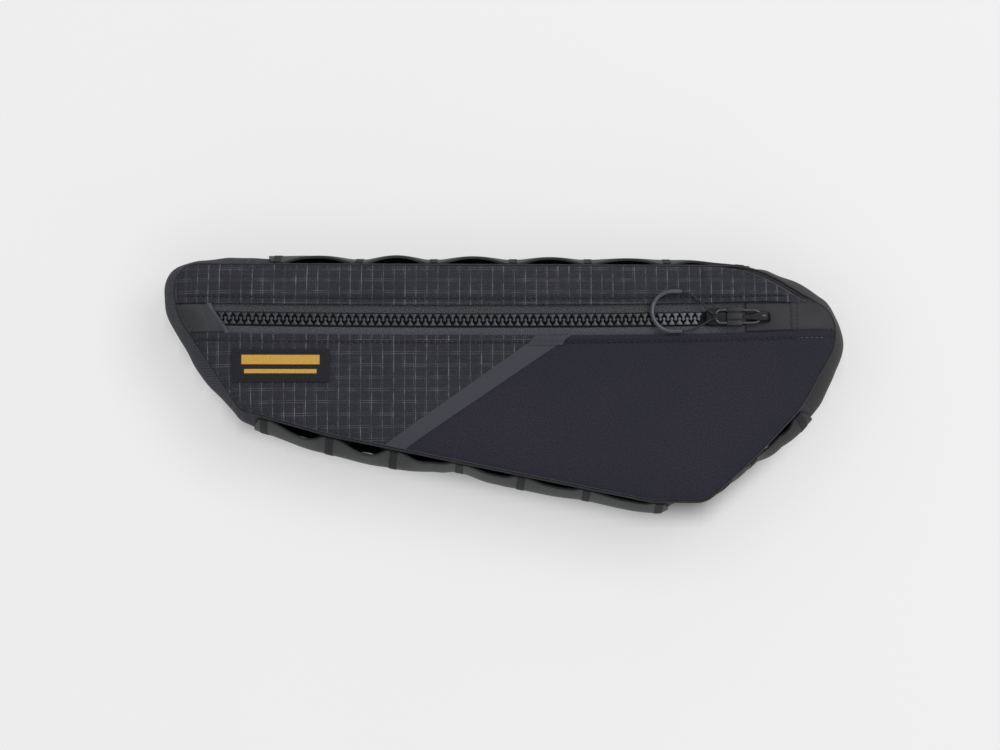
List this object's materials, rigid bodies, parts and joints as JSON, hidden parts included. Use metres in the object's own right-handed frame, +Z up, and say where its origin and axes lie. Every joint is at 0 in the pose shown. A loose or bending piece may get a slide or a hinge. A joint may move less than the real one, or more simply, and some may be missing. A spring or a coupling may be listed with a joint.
{
  "type": "bicycle frame bag",
  "caption": "Half-frame bicycle bag lying on its back panel, with a full-length zip, corded zip pull, slanted accent band, blank woven patch and rows of lashing loops.",
  "frame": {"origin": "bottom centre of the bounding box, on the plane the back panel lies on", "axes": "+X from the tail end to the nose, +Y from the lower edge to the zip edge, +Z up out of the front panel"},
  "size_m": [0.3928, 0.1498, 0.0635],
  "materials": {
    "ripstop": "woven, with a light grid",
    "plain_weave": "matte plain weave",
    "band": "matte twill",
    "coated": "smooth coated cloth",
    "tape": "woven tape",
    "teeth": "satin moulded",
    "slider": "satin black",
    "cord": "braided",
    "grip": "satin",
    "label": "woven"
  },
  "bodies": {
    "bag": {"back_panel": "plain_weave", "gusset_top": "ripstop", "gusset_nose": "coated", "gusset_bottom": "ripstop", "front_panel_upper": "ripstop", "front_panel_lower": "ripstop", "accent_band": "band", "front_panel_plain": "plain_weave", "garage_left": "coated", "garage_right": "coated", "zip_tape_upper": "tape", "zip_tape_lower": "tape", "zip_teeth_upper": "teeth", "zip_teeth_lower": "teeth", "zip_slider": "slider", "label_patch": "label", "strap_chain_top": "coated", "strap_chain_front": "coated", "strap_chain_bottom": "coated"},
    "pull": {"pull_link": "slider", "pull_cord_upper": "cord", "pull_cord_lower": "cord", "pull_grip": "grip"}
  },
  "joints": [
    {"name": "pull_hinge", "type": "hinge", "parent": "bag", "child": "pull", "pos_m": [0.14611, 0.03385, 0.06105], "axis": [0, 1, 0], "range_deg": [0, 150]}
  ]
}
